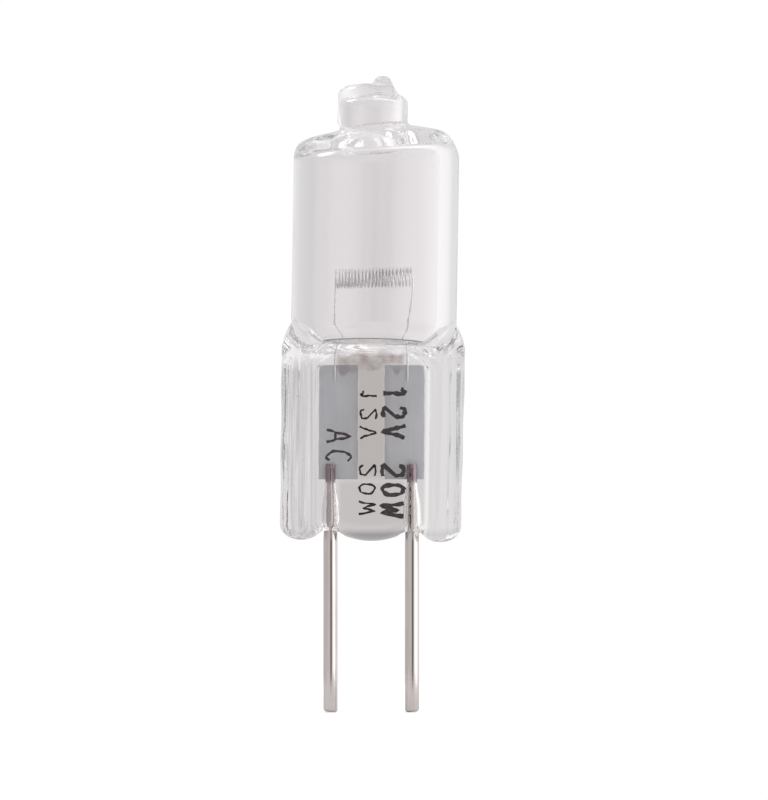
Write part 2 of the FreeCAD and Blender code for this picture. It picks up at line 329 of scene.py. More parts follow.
glass = {
    "lean": 0.95,
    "shift": -0.05,
    "bulbRadius": 4.06,
    "bulbFoot": 10.75,
    "waistBelow": 0.50,
    "bowlAbove": 0.20,
    "wall": 0.95,
    "shoulderHeight": 18.72,
    "shoulderRadius": 1.35,
    "domeSlope": 12.0,
    "domeTilt": 0.085,
    "tipRadius": 1.73,
    "tipFillet": 0.22,
    "tipOffset": -0.23,
    "tipTop": 22.40,
    "tipRound": 0.60,
    "tipSlump": 0.46,
    "nippleHeight": 0.42,
    "nippleWidth": 0.46,
    "nippleOffset": 0.48,
    "crownEdge": 0.10,
    "slumpRight": (0.85, 1.35),
    "slumpLeft": (-0.20, -1.60),
    "slumpLow": 0.08,
    "slumpReach": 1.50,
    "tiltRise": (19.20, 20.30),
    "tiltFade": (20.60, 21.40),
    "offsetRise": (20.00, 20.60),
    "drawnStub": 0.012,
    "drawnRise": (20.60, 21.20),
    "drawnWaves": ((1.0, 2.0, 1.4), (0.6, 5.0, -2.3)),
    "pinchHalf": 4.43,
    "pinchSpread": 0.085,
    "pinchTop": 9.60,
    "ribLow": 8.30,
    "ribHigh": 11.00,
    "ribTop": 9.20,
    "shoulderEnd": 10.65,
    "ribBlend": (1.60, 3.20),
    "sideBlend": (3.90, 4.45),
    "ribHalf": 1.45,
    "webHalf": 1.15,
    "webWidth": 2.95,
    "webTop": 9.36,
    "webCorner": 1.10,
    "webFlank": 0.36,
    "bead": 0.06,
    "beadAway": 0.36,
    "beadWidth": 0.16,
    "beadRise": (0.40, 1.40),
    "beadFade": (9.20, 8.40),
    "cornerRadius": 1.00,
    "baseRound": 0.75,
    "lobeRise": 0.36,
    "notchHalf": 0.42,
    "lobeFade": (0.20, 1.70),
    "flow": 0.016,
    "flowStart": 0.20,
    "flowFull": 0.60,
    "flowFade": (8.60, 10.60),
    "flowLines": 15.0,
    "flowSway": (0.50, 0.80),
    "sideFlow": 0.20,
    "sideWaves": (1.90, 2.00),
    "floor": 10.00,
    "floorHalf": 2.80,
    "floorDeep": 2.80,
    "innerRound": 0.45,
    "innerTilt": 0.065,
    "innerTiltRise": (18.30, 19.30),
    "innerTiltFade": (19.60, 20.40),
    "innerOffsetRise": (19.40, 20.20),
    "neckRadius": 1.15,
    "neckLip": 0.30,
    "neckTop": 21.50,
    "neckCap": 0.38,
    "boreStart": -1.00,
    "boreGap": 0.15,
    "boreFade": 1.60,
    "mouthGap": 0.42,
    "mouthFoot": 0.15,
    "mouthTop": 1.15,
    "boreTop": 2.95,
    "boreTaper": 0.08,
    "boreClose": 0.60,
    "boreTurn": 0.10,
    "boreRows": (44, 6),
    "boreColumns": 48,
    "rows": {"base": 18, "pinch": 46, "waist": 14, "bowl": 52, "tube": 20, "shoulder": 18,
             "cone": 8, "fillet": 8, "stub": 6, "rim": 12, "crown": 22},
    "columns": 300,
    "innerRows": {"floor": 8, "bowl": 44, "tube": 16, "shoulder": 18,
                  "cone": 10, "lip": 10, "bore": 6, "cap": 14},
    "innerColumns": 120,
    "sharp": 55.0,
}

bubble = {
    "count": 12,
    "rows": 9,
    "sides": 12,
    "away": 3.45,
    "awaySpread": 0.45,
    "depthSpread": 0.35,
    "height": 5.40,
    "heightSpread": 1.90,
    "size": 0.030,
    "sizeSpread": 0.016,
    "length": 2.20,
    "lengthSpread": 1.20,
    "strew": {"x": 2.4, "y": 4.1, "z": 1.7, "size": 3.1, "length": 5.3},
    "strewShift": 0.6,
}


def stadiumGrid(halfWidth, halfDepth, height, columns):
    # Each ring is a stadium in equal steps of arc length; equal half sizes make it a circle.
    turn = ramp(0.0, 4.0, columns)
    quarter = np.floor(turn).astype(int)
    share = turn - quarter
    share = np.where(quarter % 2 == 0, share, 1.0 - share)
    signX = np.where((quarter == 0) | (quarter == 3), 1.0, -1.0)
    signY = np.where(quarter < 2, 1.0, -1.0)
    wide = halfWidth[:, None]
    deep = np.maximum(halfDepth, tiny)[:, None]
    arc = deep * math.pi / 2.0
    run = share * (wide - deep + arc)
    onEnd = run < arc
    angle = np.where(onEnd, run / deep, 0.0)
    x = np.where(onEnd, wide - deep + deep * np.cos(angle), wide - deep - (run - arc))
    y = np.where(onEnd, deep * np.sin(angle), deep)
    z = np.repeat(height[:, None], columns, axis=1)
    return np.stack([x * signX, y * signY, z], axis=-1)


def swell(z, low, high):
    # Quarter of an ellipse: steep at low, level at high.
    share = np.clip((z - low) / (high - low), 0.0, 1.0)
    return np.sqrt(1.0 - (1.0 - share) ** 2)


def draw(z, low, high):
    # A square: slow at low, quick at high.
    return np.clip((z - low) / (high - low), 0.0, 1.0) ** 2


def leaned(points):
    # A small shift along X, then a turn about the Y axis.
    turn = math.radians(glass["lean"])
    x = points[..., 0] + glass["shift"]
    z = points[..., 2]
    return np.stack([x * math.cos(turn) + z * math.sin(turn), points[..., 1],
                     z * math.cos(turn) - x * math.sin(turn)], axis=-1)


def lobesOf(x):
    # Three convex lobes, parted by a notch at each pin.
    side = np.abs(x)
    rise = glass["lobeRise"]
    inner = pinX - glass["notchHalf"]
    outer = pinX + glass["notchHalf"]
    foot = glass["pinchHalf"] - glass["cornerRadius"]
    middle = rise * (side / inner) ** 2
    flank = rise * (np.clip(foot - side, 0.0, None) / (foot - outer)) ** 2
    return np.minimum(rise, np.where(side < pinX, middle, flank))


def archAway(x, z):
    # Distance from the rounded arch of the web, negative inside it.
    corner = glass["webCorner"]
    overX = np.abs(x) - (glass["webWidth"] - corner)
    overZ = z - (glass["webTop"] - corner)
    outside = np.hypot(np.clip(overX, 0.0, None), np.clip(overZ, 0.0, None))
    return outside + np.minimum(np.maximum(overX, overZ), 0.0) - corner


def outerSkin():
    # Rings from below: rounded base, pinch, bowl, tube, shoulder arc, cone, fillet, stub, rim arc
    # and crown. Each ring passes from a flat stadium into a circle: early in front, as a soft
    # S on the ribs and as a square at the sides. The web is pressed in within its arch, a
    # Gaussian bead runs beside it, sines wave the ribs, and the lobes lift the foot. Above, the
    # dome tilts, the crown has a flat-topped Gaussian nipple and slumps to both sides, and two
    # sines that twist with height make the stub uneven.
    top = glass["bulbRadius"]
    arc = glass["shoulderRadius"]
    slope = math.radians(glass["domeSlope"])
    rows = glass["rows"]
    base = ramp(math.pi / 2.0, 0.0, rows["base"])
    bowlLow = glass["pinchTop"] - glass["waistBelow"]
    bowlHigh = glass["bulbFoot"] + glass["bowlAbove"]
    pinch = ramp(glass["baseRound"], bowlLow, rows["pinch"])
    crowd = 1.0 - np.cos(ramp(0.0, math.pi / 2.0, rows["bowl"]))
    bowl = np.concatenate([ramp(bowlLow, glass["pinchTop"], rows["waist"]),
                           glass["pinchTop"] + (bowlHigh - glass["pinchTop"]) * crowd])
    tube = ramp(bowlHigh, glass["shoulderHeight"], rows["tube"])
    swing = ramp(0.0, math.pi / 2.0 - slope, rows["shoulder"])
    shoulderR = top - arc + arc * np.cos(swing)
    shoulderZ = glass["shoulderHeight"] + arc * np.sin(swing)
    endR = top - arc + arc * math.sin(slope)
    endZ = glass["shoulderHeight"] + arc * math.cos(slope)
    fillet = glass["tipFillet"]
    stub = glass["tipRadius"]
    coneR = ramp(endR, stub + fillet, rows["cone"])
    coneZ = endZ + (endR - coneR) * math.tan(slope)
    footZ = endZ + (endR - stub - fillet) * math.tan(slope)
    bend = ramp(math.pi * 1.5, math.pi, rows["fillet"])
    filletR = stub + fillet + fillet * np.cos(bend)
    filletZ = footZ + fillet + fillet * np.sin(bend)
    rimLow = glass["tipTop"] - glass["tipRound"]
    rimIn = stub - glass["tipRound"]
    wallZ = ramp(footZ + fillet, rimLow, rows["stub"])
    rim = ramp(0.0, math.pi / 2.0, rows["rim"])
    rimR = rimIn + glass["tipRound"] * np.cos(rim)
    rimZ = rimLow + glass["tipRound"] * np.sin(rim)
    crownR = ramp(rimIn, 0.0, rows["crown"], True)
    crownZ = np.full(len(crownR), glass["tipTop"])
    tubeR = np.full(len(tube), top)
    wallR = np.full(len(wallZ), stub)
    roundR = np.concatenate([tubeR, shoulderR, coneR, filletR, wallR, rimR, crownR])
    roundZ = np.concatenate([tube, shoulderZ, coneZ, filletZ, wallZ, rimZ, crownZ])
    baseWidth = glass["pinchHalf"] - glass["cornerRadius"] * (1.0 - np.cos(base))
    pinchWidth = glass["pinchHalf"] + glass["pinchSpread"] * pinch / glass["pinchTop"]
    bowlWidth = np.full(len(bowl), glass["pinchHalf"] + glass["pinchSpread"])
    halfWidth = np.concatenate([baseWidth, pinchWidth, bowlWidth, roundR])
    ribDepth = np.full(len(pinch) + len(bowl), glass["ribHalf"])
    halfDepth = np.concatenate([glass["ribHalf"] * np.cos(base), ribDepth, roundR])
    height = np.concatenate([glass["baseRound"] * (1.0 - np.sin(base)), pinch, bowl, roundZ])
    webScale = np.concatenate([np.cos(base), np.ones(len(height) - len(base))])[:, None]
    flat = stadiumGrid(halfWidth, halfDepth, height, glass["columns"])
    roundHalf = np.concatenate([np.full(len(height) - len(roundR), top), roundR])
    full = stadiumGrid(roundHalf, roundHalf, height, glass["columns"])
    across = np.abs(flat[..., 0])
    level = flat[..., 2]
    share = swell(level, glass["pinchTop"], glass["bulbFoot"])
    onRib = smooth(glass["ribLow"], glass["ribHigh"], level)
    share = share + (onRib - share) * smooth(*glass["ribBlend"], across)
    onSide = draw(level, glass["ribTop"], glass["shoulderEnd"])
    share = share + (onSide - share) * smooth(*glass["sideBlend"], across)
    grid = flat + (full - flat) * share[..., None]
    x, y, z = grid[..., 0], grid[..., 1], grid[..., 2]
    web = np.sign(y) * np.minimum(np.abs(y), glass["webHalf"] * webScale)
    away = archAway(x, z)
    onWeb = (1.0 - smooth(-glass["webFlank"], glass["webFlank"], away)) * (z < glass["bulbFoot"])
    y = y + (web - y) * onWeb
    bead = glass["bead"] * np.exp(-((away - glass["beadAway"]) / glass["beadWidth"]) ** 2)
    y = y + np.sign(y) * bead * smooth(*glass["beadRise"], z) * smooth(*glass["beadFade"], z)
    flowFoot = glass["webWidth"] + glass["flowStart"]
    flowTop = glass["webWidth"] + glass["flowFull"]
    ribs = smooth(flowFoot, flowTop, np.abs(x)) * (1.0 - smooth(*glass["flowFade"], z))
    sway, drift = glass["flowSway"]
    lines = np.sin(x * glass["flowLines"] + sway * np.sin(z * drift))
    y = y * (1.0 + glass["flow"] * ribs * lines)
    rise, turn = glass["sideWaves"]
    x = x * (1.0 + glass["sideFlow"] * glass["flow"] * ribs * np.sin(z * rise + turn * y))
    z = z + lobesOf(x) * (1.0 - smooth(*glass["lobeFade"], z))
    crownX = x - glass["nippleOffset"]
    drawn = np.exp(-((crownX ** 2 + y ** 2) / glass["nippleWidth"] ** 2) ** 2.0)
    onCrown = smooth(rimLow, glass["tipTop"] - glass["crownEdge"], z)
    slump = (glass["tipSlump"] * smooth(*glass["slumpRight"], x)
             + glass["slumpLow"] * smooth(*glass["slumpLeft"], x))
    onStub = smooth(glass["tipTop"] - glass["slumpReach"], glass["tipTop"], z)
    z = z + onCrown * glass["nippleHeight"] * drawn - onStub * slump
    onDome = smooth(*glass["tiltRise"], z) * (1.0 - smooth(*glass["tiltFade"], z))
    z = z + glass["domeTilt"] * x * onDome
    angle = np.arctan2(y, x)
    drawnOut = sum(amount * np.sin(around * angle + along * z)
                   for amount, around, along in glass["drawnWaves"])
    lumps = 1.0 + glass["drawnStub"] * drawnOut * smooth(*glass["drawnRise"], z)
    x = x * lumps + glass["tipOffset"] * smooth(*glass["offsetRise"], z)
    y = y * lumps
    return leaned(np.stack([x, y, z], axis=-1))


def innerSkin():
    # Flat floor, bowl, tube, round shoulder, cone one wall below the dome, lip and the bore of the
    # stub, closed by a quarter ellipse. The dome inside tilts a little less than outside.
    wide = glass["bulbRadius"] - glass["wall"]
    arc = glass["innerRound"]
    slope = math.radians(glass["domeSlope"])
    low = glass["floor"]
    rows = glass["innerRows"]
    base = ramp(math.pi / 2.0, 0.0, rows["floor"])
    crowd = 1.0 - np.cos(ramp(0.0, math.pi / 2.0, rows["bowl"]))
    bowl = low + (glass["bulbFoot"] - low) * crowd
    share = swell(bowl, low, glass["bulbFoot"])
    width = glass["floorHalf"] + (wide - glass["floorHalf"]) * share
    depth = glass["floorDeep"] + (wide - glass["floorDeep"]) * share
    reach = 1.0 - base / (math.pi / 2.0)
    baseWidth = width[0] * reach
    baseDepth = depth[0] * reach
    inset = glass["shoulderRadius"] - glass["wall"]
    coneStart = glass["bulbRadius"] - glass["shoulderRadius"] + inset * math.sin(slope)
    coneLow = glass["shoulderHeight"] + inset * math.cos(slope)
    centre = wide - arc
    endR = centre + arc * math.sin(slope)
    startZ = coneLow + (coneStart - endR) * math.tan(slope) - arc * math.cos(slope)
    tube = ramp(glass["bulbFoot"], startZ, rows["tube"])
    swing = ramp(0.0, math.pi / 2.0 - slope, rows["shoulder"])
    neck = glass["neckRadius"]
    lip = glass["neckLip"]
    coneR = ramp(endR, neck + lip, rows["cone"])
    coneZ = coneLow + (coneStart - coneR) * math.tan(slope)
    lipZ = coneLow + (coneStart - neck - lip) * math.tan(slope) + lip
    bend = ramp(math.pi * 1.5, math.pi, rows["lip"])
    boreZ = ramp(lipZ, glass["neckTop"], rows["bore"])
    cap = ramp(0.0, math.pi / 2.0, rows["cap"], True)
    capZ = glass["neckTop"] + glass["neckCap"] * np.sin(cap)
    tubeR = np.full(len(tube), wide)
    shoulderR = centre + arc * np.cos(swing)
    shoulderZ = startZ + arc * np.sin(swing)
    lipR = neck + lip + lip * np.cos(bend)
    boreR = np.full(len(boreZ), neck)
    roundR = np.concatenate([tubeR, shoulderR, coneR, lipR, boreR, neck * np.cos(cap)])
    roundZ = np.concatenate([tube, shoulderZ, coneZ, lipZ + lip * np.sin(bend), boreZ, capZ])
    halfWidth = np.concatenate([baseWidth, width, roundR])
    halfDepth = np.concatenate([baseDepth, depth, roundR])
    height = np.concatenate([np.full(len(base), low), bowl, roundZ])
    grid = stadiumGrid(halfWidth, halfDepth, height, glass["innerColumns"])
    x, z = grid[..., 0], grid[..., 2]
    onDome = smooth(*glass["innerTiltRise"], z) * (1.0 - smooth(*glass["innerTiltFade"], z))
    tilt = glass["innerTilt"] * x * onDome
    offset = glass["tipOffset"] * smooth(*glass["innerOffsetRise"], z)
    return leaned(np.stack([x + offset, grid[..., 1], z + tilt], axis=-1))


def boreGrid(side):
    # A turned hole with a wide mouth; its gap dwindles upward, and it closes inside the
    # root of the pin.
    start = glass["boreStart"]
    top = glass["boreTop"]
    turning = top - glass["boreTurn"]
    lowRows, highRows = glass["boreRows"]
    height = np.concatenate([[start], ramp(start, turning, lowRows),
                             ramp(turning, top, highRows, True), [top]])
    root = pinRadius + (pin["rootRadius"] - pinRadius) * np.clip(height / foilBottom, 0.0, 1.0)
    flare = 1.0 - smooth(glass["mouthFoot"], glass["mouthTop"], height)
    mouth = (glass["mouthGap"] - glass["boreGap"]) * flare
    gap = glass["boreGap"] * (1.0 - smooth(glass["boreFade"], top, height)) + mouth
    closing = glass["boreClose"] * smooth(top - glass["boreTaper"], top, height)
    radius = (root + gap) * (1.0 - closing)
    radius[0] = 0.0
    radius[-1] = 0.0
    grid = turnedGrid(radius, height, glass["boreColumns"])
    grid[..., 0] += side * pinX
    return grid


def voidGrids():
    # Small drawn-out bubbles in the ribs: ellipsoids strewn by sines.
    index = np.arange(bubble["count"])
    side = np.where(index % 2 == 0, -1.0, 1.0)
    strew = bubble["strew"]
    x = side * (bubble["away"] + bubble["awaySpread"] * np.sin(index * strew["x"]))
    y = bubble["depthSpread"] * np.sin(index * strew["y"])
    wander = np.sin(index * strew["z"] + bubble["strewShift"])
    z = bubble["height"] + bubble["heightSpread"] * wander
    size = bubble["size"] + bubble["sizeSpread"] * np.sin(index * strew["size"])
    longer = bubble["length"] + bubble["lengthSpread"] * np.sin(index * strew["length"])
    turn = ramp(0.0, math.pi, bubble["rows"], True)
    ball = turnedGrid(np.sin(turn), -np.cos(turn), bubble["sides"])
    scale = np.stack([size, size, size * longer], axis=-1)
    centre = np.stack([x, y, z], axis=-1)
    return ball[None] * scale[:, None, None] + centre[:, None, None]


tint = {
    "refraction": 1.458,
    "clear": (0.975, 0.955, 0.961),
    "bloom": (0.92, 0.90, 0.89),
    "bloomX": (-2.80, 2.80, 0.50),
    "bloomZ": (0.50, 8.60, 0.50),
    "bloomCloud": {"fine": (0.5, 0.3), "spread": (0.3, 0.7), "gives": (0.6, 1.0)},
    "brown": (0.47, 0.405, 0.385),
    "patchX": (-1.70, 1.60, 0.20),
    "patchZ": (8.40, 9.30, 0.12),
    "patchEdge": {"fine": (1.4, 0.2), "spread": (0.3, 0.7), "gives": (-0.3, 0.3)},
    "patchMottle": {"fine": (2.2, 2.0), "spread": (0.35, 0.65), "gives": (0.45, 1.0)},
    "middleX": (-0.75, 0.75, 0.25),
    "middleZ": (3.00, 8.90, 0.60),
    "middleShare": 0.55,
    "lowerX": (-1.60, 1.60, 0.20),
    "lowerZ": (0.30, 3.00, 0.30),
    "lowerShare": 0.33,
    # Painted shade: the left rib is darkened in streaks.
    "leftRibShade": (0.60, 0.575, 0.58),
    "leftRibShadeX": (-6.00, -2.90, 0.15),
    "leftRibShadeZ": (-0.50, 8.80, 0.50),
    "leftRibShadeStreaks": {"fine": (5.0, 0.1), "spread": (0.35, 0.65), "gives": (0.0, 1.0)},
    "foot": (0.24, 0.235, 0.24),
    "footX": (-1.70, 1.70, 0.20),
    "footZ": (-0.50, 0.50, 0.20),
    "footSides": 0.30,
    # Painted shade: a thin dark line on the wall of the hollow just above its floor.
    "hollowShade": (0.10, 0.095, 0.095),
    "hollowShadeLow": 0.03,
    "hollowShadeHigh": 0.11,
    "hollowShadeSoft": 0.012,
    "hollowShadeReach": 0.04,
    "haze": 0.05,
    "hazeGrain": (2.5, 2.5),
    "streakX": (3.00, 9.00, 0.25),
    "streakZ": (0.30, 8.60, 0.50),
    "streakGrain": (3.2, 0.07, 2.0),
    "streakElsewhere": 0.08,
    "bumpStrength": 0.7,
    "bumpDepth": 0.06,
}


def quartzMaterial():
    # Clear quartz with a warm bloom on the web, a brown patch above the foils, a fainter brown in
    # the middle and low on the web, streaked painted shade along the left rib, a dark foot, and a
    # thin line of painted shade on the wall of the hollow just above its floor.
    material, tree, shader = newMaterial("quartz")
    setInput(shader, "Transmission Weight", 1.0)
    setInput(shader, "IOR", tint["refraction"])
    places = useGroup(tree, placesGroup)
    x, y, z = [places.outputs[label] for label in "XYZ"]
    web = zone(tree, x, tint["bloomX"], z, tint["bloomZ"])
    bloom = mathNode(tree, "MULTIPLY", web, mottled(tree, **tint["bloomCloud"]))
    shifted = mathNode(tree, "ADD", z, mottled(tree, **tint["patchEdge"]))
    patch = zone(tree, x, tint["patchX"], shifted, tint["patchZ"])
    patch = mathNode(tree, "MULTIPLY", patch, mottled(tree, **tint["patchMottle"]))
    middle = zone(tree, x, tint["middleX"], z, tint["middleZ"])
    lower = zone(tree, x, tint["lowerX"], z, tint["lowerZ"])
    worn = mathNode(tree, "MAXIMUM", mathNode(tree, "MULTIPLY", middle, tint["middleShare"]),
                    mathNode(tree, "MULTIPLY", lower, tint["lowerShare"]))
    brown = mathNode(tree, "MAXIMUM", worn, patch)
    # Painted shade: darker streaks on the left rib.
    leftRib = zone(tree, x, tint["leftRibShadeX"], z, tint["leftRibShadeZ"])
    leftRibShading = mathNode(tree, "MULTIPLY", leftRib, mottled(tree, **tint["leftRibShadeStreaks"]))
    centre = stretch(tree, band(tree, x, *tint["footX"]), 0.0, 1.0, tint["footSides"], 1.0)
    foot = mathNode(tree, "MULTIPLY", band(tree, z, *tint["footZ"]), centre)
    lean = math.sin(math.radians(glass["lean"]))
    tilted = mathNode(tree, "ADD", z, mathNode(tree, "MULTIPLY", x, lean))
    squares = mathNode(tree, "ADD", mathNode(tree, "POWER", x, 2.0),
                       mathNode(tree, "POWER", y, 2.0))
    away = mathNode(tree, "POWER", squares, 0.5)
    # Painted shade: a thin dark line on the wall of the hollow just above its floor, within the
    # wall's reach.
    wallReach = glass["bulbRadius"] - glass["wall"] + tint["hollowShadeReach"]
    strip = band(tree, tilted, glass["floor"] + tint["hollowShadeLow"], glass["floor"] + tint["hollowShadeHigh"],
                 tint["hollowShadeSoft"])
    hollowShade = mathNode(tree, "MULTIPLY", strip, mathNode(tree, "LESS_THAN", away, wallReach))
    colour = colourMix(tree, bloom, tint["clear"], tint["bloom"])
    for mask, name in ((leftRibShading, "leftRibShade"), (brown, "brown"), (foot, "foot"), (hollowShade, "hollowShade")):
        colour = colourMix(tree, mask, colour, tint[name])
    dust = mathNode(tree, "MULTIPLY", bloom, grain(tree, *tint["hazeGrain"]))
    rough = stretch(tree, dust, 0.0, 1.0, 0.0, tint["haze"])
    side = mathNode(tree, "ABSOLUTE", x, 0.0)
    ribs = zone(tree, side, tint["streakX"], z, tint["streakZ"])
    share = stretch(tree, ribs, 0.0, 1.0, tint["streakElsewhere"], 1.0)
    streaks = mathNode(tree, "MULTIPLY", grain(tree, *tint["streakGrain"]), share)
    dress(tree, shader, colour, rough, streaks, tint)
    return material


def buildGlass():
    # The bores are cut from the outer skin; hollow and bubbles join it as skins that face inward.
    skin = addObject("skin", skinOf("skin", outerSkin()))
    bores = addObject("bores", skinsOf("bores", np.stack([boreGrid(-1), boreGrid(1)])))
    cut = skin.modifiers.new("cut", "BOOLEAN")
    cut.object = bores
    cut.operation = "DIFFERENCE"
    cut.solver = "EXACT"
    ready = skin.evaluated_get(bpy.context.evaluated_depsgraph_get())
    opened = bpy.data.meshes.new_from_object(ready)
    hollow = skinOf("hollow", innerSkin(), flip=True)
    voids = skinsOf("voids", voidGrids(), flip=True)
    work = bmesh.new()
    work.from_mesh(opened)
    bmesh.ops.remove_doubles(work, verts=work.verts, dist=weldGap)
    work.from_mesh(hollow)
    work.from_mesh(voids)
    whole = bpy.data.meshes.new("quartz_glass")
    work.to_mesh(whole)
    work.free()
    bpy.data.objects.remove(skin)
    bpy.data.objects.remove(bores)
    return addPiece("quartz_glass", whole, quartzMaterial(), ["quartz_envelope"],
                    glass["sharp"])


quartz = buildGlass()
print("quartz envelope", len(quartz.data.polygons))


# Pins

pinLook = {
    "dark": (0.66, 0.595, 0.575),
    "bright": (0.76, 0.70, 0.68),
    "dull": (0.47, 0.43, 0.41),
    "sunken": (0.42, 0.40, 0.40),
    "sunkenZ": (0.60, 2.60, 0.50),
    "sunkenShare": 0.55,
    "weld": (0.30, 0.235, 0.255),
    "weldZ": (2.85, 6.00, 0.22),
    "lines": (14.0, 0.12, 4.0),
    "lineSpread": (0.30, 0.70),
    "cloud": {"fine": (1.2, 0.35), "spread": (0.45, 0.75), "gives": (0.0, 0.35)},
    "roughSpread": (0.25, 0.75),
    "roughness": (0.05, 0.12),
    "bumpStrength": 0.3,
    "bumpDepth": 0.006,
}


def pinMaterial():
    # Drawn wire: fine lines along it, warm grey with dull clouds, greyer in the bore and with a
    # dark heat tint at the weld.
    material, tree, shader = newMaterial("pin_metal")
    setInput(shader, "Metallic", 1.0)
    z = useGroup(tree, placesGroup).outputs["Z"]
    lines = grain(tree, *pinLook["lines"])
    share = stretch(tree, lines, *pinLook["lineSpread"], 0.0, 1.0)
    colour = colourMix(tree, share, pinLook["dark"], pinLook["bright"])
    colour = colourMix(tree, mottled(tree, **pinLook["cloud"]), colour, pinLook["dull"])
    sunken = mathNode(tree, "MULTIPLY", band(tree, z, *pinLook["sunkenZ"]), pinLook["sunkenShare"])
    colour = colourMix(tree, sunken, colour, pinLook["sunken"])
    colour = colourMix(tree, band(tree, z, *pinLook["weldZ"]), colour, pinLook["weld"])
    rough = stretch(tree, lines, *pinLook["roughSpread"], *pinLook["roughness"])
    dress(tree, shader, colour, rough, lines, pinLook)
    return material


def pinGrid(side):
    # Turned wire with a bevelled cut end that is sheared a little, a root that tapers evenly
    # and a flat land for the foil.
    bevel = pin["chamfer"]
    shaftRows, taperRows, landRows = pin["rows"]
    height = np.concatenate([[pinTip, pinTip, pinTip + pin["endStep"]],
                             ramp(pinTip + bevel, 0.0, shaftRows),
                             ramp(0.0, foilBottom, taperRows),
                             ramp(foilBottom, rootTop - pin["topChamfer"], landRows),
                             [rootTop, rootTop]])
    radius = pinRadius + (pin["rootRadius"] - pinRadius) * np.clip(height / foilBottom, 0.0, 1.0)
    radius[0] = 0.0
    radius[1] = pinRadius - bevel
    radius[2] = pinRadius - pin["endShare"] * bevel
    radius[-2] = pin["rootRadius"] - pin["topChamfer"]
    radius[-1] = 0.0
    grid = turnedGrid(radius, height, pin["columns"])
    flat = grid[..., 2] > foilBottom + pin["landGap"]
    grid[..., 1] = np.where(flat, np.minimum(grid[..., 1], pin["land"]), grid[..., 1])
    low = 1.0 - smooth(pinTip, pinTip + pin["shearReach"], grid[..., 2])
    grid[..., 2] += pin["shear"] * low * (side * grid[..., 0] / pinRadius + 1.0) / 2.0
    grid[..., 0] += side * pinX
    return grid


pinMetal = pinMaterial()
for side, name in ((-1, "pin_left"), (1, "pin_right")):
    mesh = skinOf(name + "_wire", pinGrid(side))
    addPiece(name + "_wire", mesh, pinMetal, [name], pin["sharp"])
print("pins")


# Foils

foil = {
    "feather": 0.30,
    "wave": 0.010,
    "waveLines": (1.7, 2.3),
    "waveShift": 1.0,
    "waveRise": (0.20, 1.00),
    "ragged": 0.018,
    "raggedLines": (5.3, 2.1),
    "raggedShift": 0.4,
    "thickness": 0.036,
    "edge": 0.010,
    "clearance": 0.002,
    "rows": 48,
    "across": 20,
    "sharp": 60.0,
    "metallic": 0.2,
    "dark": (0.78, 0.795, 0.845),
    "pale": (0.88, 0.89, 0.93),
    "paleSpread": (0.35, 0.70),
    "rubbed": (0.95, 0.95, 0.96),
    "rubbedSpread": (0.40, 0.80),
    "rubbedShare": 0.4,
    "lines": (6.0, 0.25, 4.0),
    "cloud": (0.7, 0.45),
    "roughSpread": (0.30, 0.70),
    "roughness": (0.42, 0.60),
    "bumpStrength": 0.2,
    "bumpDepth": 0.008,
}


def foilMaterial():
    # Rolled foil: matte blue-grey with faint rolling lines and clouded patches.
    material, tree, shader = newMaterial("foil_metal")
    setInput(shader, "Metallic", foil["metallic"])
    lines = grain(tree, *foil["lines"])
    cloud = grain(tree, *foil["cloud"])
    share = stretch(tree, cloud, *foil["paleSpread"], 0.0, 1.0)
    base = colourMix(tree, share, foil["dark"], foil["pale"])
    rubbed = stretch(tree, lines, *foil["rubbedSpread"], 0.0, foil["rubbedShare"])
    colour = colourMix(tree, rubbed, base, foil["rubbed"])
    rough = stretch(tree, cloud, *foil["roughSpread"], *foil["roughness"])
    dress(tree, shader, colour, rough, lines, foil)
    return material


def foilGrid(side):
    # A thin strip, front and back in one ring; its long edges thin out and waver by sines,
    # and its first and last rows run along the middle of the thickness to close the ends.
    half = (foilBox[1][0] - foilBox[0][0]) / 2.0
    count = foil["across"]
    share = np.concatenate([ramp(-1.0, 1.0, count), ramp(1.0, -1.0, count)])
    back = np.concatenate([np.zeros(count), np.ones(count)])
    height = np.concatenate([[foilBottom], ramp(foilBottom, foilTop, foil["rows"], True),
                             [foilTop]])
    z = np.repeat(height[:, None], 2 * count, axis=1)
    quick, slow = foil["raggedLines"]
    ragged = foil["ragged"] * np.sin(z * quick + side) * np.sin(z * slow + foil["raggedShift"])
    x = share * (half + ragged * np.abs(share))
    thin = smooth(0.0, foil["feather"], half - np.abs(x))
    thickness = foil["edge"] + (foil["thickness"] - foil["edge"]) * thin
    lift = np.repeat(back[None], len(height), axis=0)
    lift[[0, -1]] = np.where(np.abs(share) < 1.0, 0.5, back)
    rise, run = foil["waveLines"]
    wave = foil["wave"] * np.sin(z * rise + side) * np.sin(x * run + foil["waveShift"])
    wave = wave * smooth(*foil["waveRise"], z - foilBottom)
    y = foilFront + foil["clearance"] + np.abs(wave) + lift * thickness
    return np.stack([x + side * foilX, y, z], axis=-1)


foilMetal = foilMaterial()
for side, name in ((-1, "foil_left"), (1, "foil_right")):
    mesh = skinOf(name + "_strip", foilGrid(side))
    addPiece(name + "_strip", mesh, foilMetal, [name], foil["sharp"])
print("foils")


# Filament

wire = {
    "radius": 0.045,
    "coilRadius": 0.45,
    "pitch": 0.168,
    "turns": 22.5,
    "centreX": 0.11,
    "centreZ": 12.90,
    "tilt": 1.5,
    "legX": 1.78,
    "legTop": 10.32,
    "legOverlap": 0.80,
    "coilPull": 0.35,
    "footPull": 0.20,
    "uneven": 0.02,
    "unevenTurns": 9.0,
    "sides": 10,
    "steps": 30,
    "legRows": (30, 16),
    "dark": (0.70, 0.69, 0.69),
    "bright": (0.86, 0.85, 0.85),
    "leg": (0.80, 0.79, 0.79),
    "legZ": (0.00, 12.20, 0.20),
    "cloud": (5.0, 5.0),
    "cloudSpread": (0.30, 0.70),
    "roughness": (0.22, 0.40),
    "bumpStrength": 0.2,
    "bumpDepth": 0.004,
}


